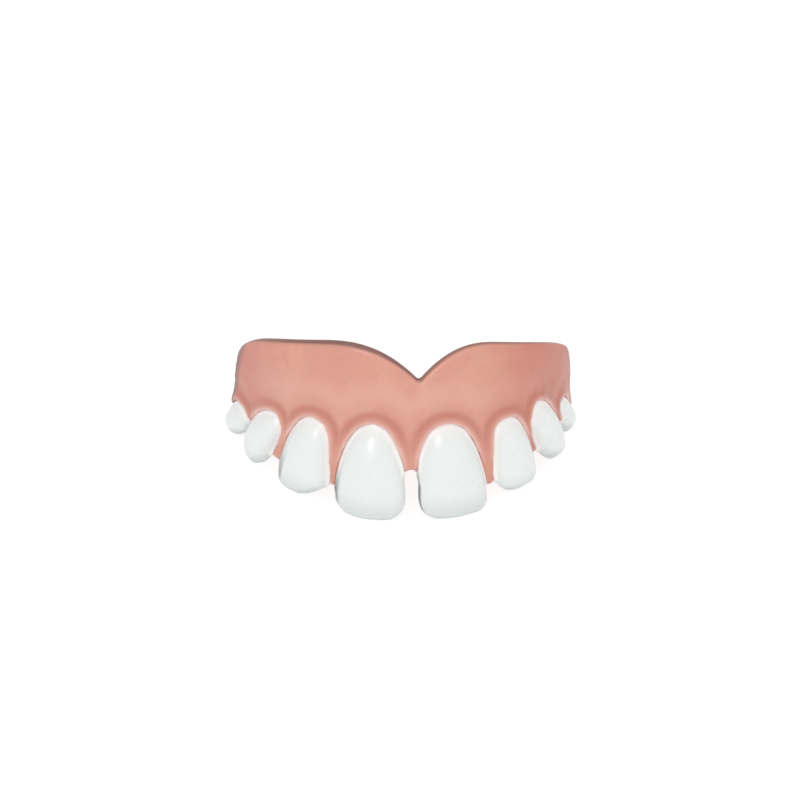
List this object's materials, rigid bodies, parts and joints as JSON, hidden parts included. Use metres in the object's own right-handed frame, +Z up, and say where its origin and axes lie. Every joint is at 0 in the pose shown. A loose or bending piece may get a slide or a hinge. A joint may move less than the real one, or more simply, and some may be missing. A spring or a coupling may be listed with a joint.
{
  "type": "buck teeth denture",
  "caption": "Pink acrylic dress-up denture with large, bucked white front teeth and a trough behind them that clips over the wearer's own upper teeth.",
  "frame": {"origin": "on the ground under the middle of the denture's box, as it stands on its biting edges", "axes": "+X to the right of someone who looks at the front, -Y out of the front, +Z up from the biting edges to the rim"},
  "size_m": [0.062, 0.034, 0.0273],
  "materials": {
    "gum_acrylic": "polished salmon pink acrylic, darker in the grooves round the teeth and along the rim",
    "tooth_acrylic": "polished white acrylic, a little greyer towards the biting edges"
  },
  "bodies": {
    "root": {"gum_base": "gum_acrylic", "tooth_premolar_left": "tooth_acrylic", "tooth_canine_left": "tooth_acrylic", "tooth_lateral_left": "tooth_acrylic", "tooth_central_left": "tooth_acrylic", "tooth_central_right": "tooth_acrylic", "tooth_lateral_right": "tooth_acrylic", "tooth_canine_right": "tooth_acrylic", "tooth_premolar_right": "tooth_acrylic"}
  },
  "joints": []
}
